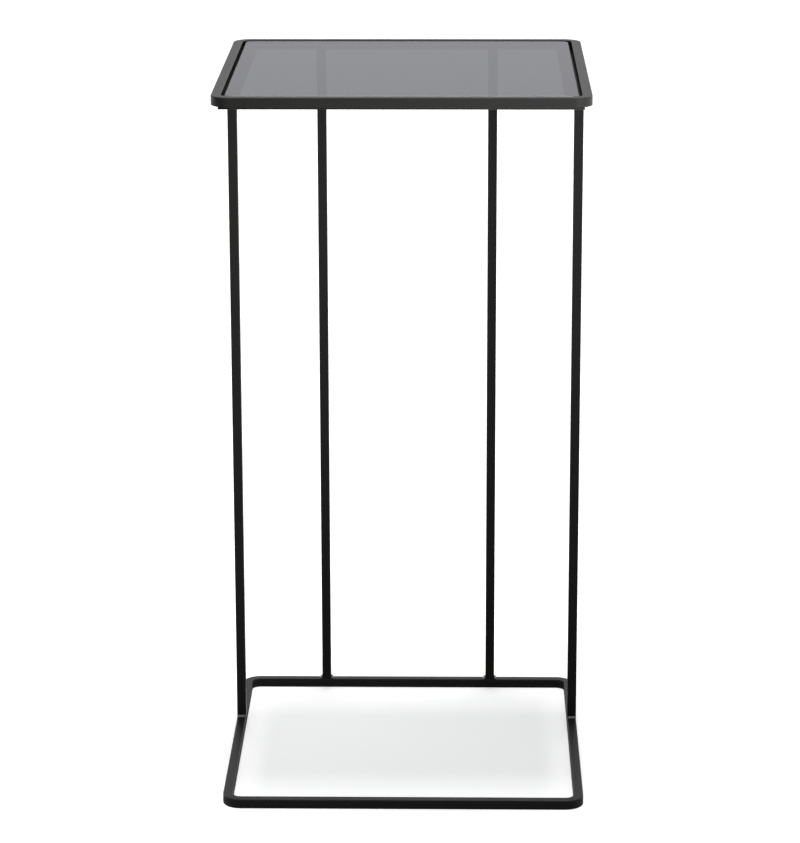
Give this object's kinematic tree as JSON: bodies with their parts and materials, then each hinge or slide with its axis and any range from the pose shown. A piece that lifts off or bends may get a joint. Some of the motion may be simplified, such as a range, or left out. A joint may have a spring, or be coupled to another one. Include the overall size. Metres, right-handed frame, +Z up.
{
  "type": "accent table",
  "caption": "Square C-shaped accent table: slim black steel bar frame, open at the front, with a loose smoked glass top dropped into its upper ring.",
  "frame": {"origin": "on the floor, under the middle of the base ring", "axes": "+Z up, +X to the right seen from the open front, +Y to the back where the back legs stand"},
  "size_m": [0.32, 0.32, 0.635],
  "materials": {
    "black_powder_coat": "fine satin black powder coat over mild steel",
    "smoked_glass": "polished grey tinted tempered glass with ground edges",
    "clear_pad": "clear soft polyurethane bumper"
  },
  "bodies": {
    "frame": {"base_ring": "black_powder_coat", "top_ring": "black_powder_coat", "left_side_leg": "black_powder_coat", "right_side_leg": "black_powder_coat", "left_back_leg": "black_powder_coat", "right_back_leg": "black_powder_coat", "front_ledge_strip": "black_powder_coat", "back_ledge_strip": "black_powder_coat", "left_ledge_strip": "black_powder_coat", "right_ledge_strip": "black_powder_coat", "glass_pad_front_left": "clear_pad", "glass_pad_front_right": "clear_pad", "glass_pad_back_left": "clear_pad", "glass_pad_back_right": "clear_pad", "left_side_leg_foot_welds": "black_powder_coat", "left_side_leg_head_welds": "black_powder_coat", "right_side_leg_foot_welds": "black_powder_coat", "right_side_leg_head_welds": "black_powder_coat", "left_back_leg_foot_welds": "black_powder_coat", "left_back_leg_head_welds": "black_powder_coat", "right_back_leg_foot_welds": "black_powder_coat", "right_back_leg_head_welds": "black_powder_coat"},
    "glass": {"glass_top": "smoked_glass"}
  },
  "joints": [
    {"name": "glass_lift", "type": "slide", "parent": "frame", "child": "glass", "axis": [0, 0, 1], "range_m": [0, 0.06]}
  ]
}
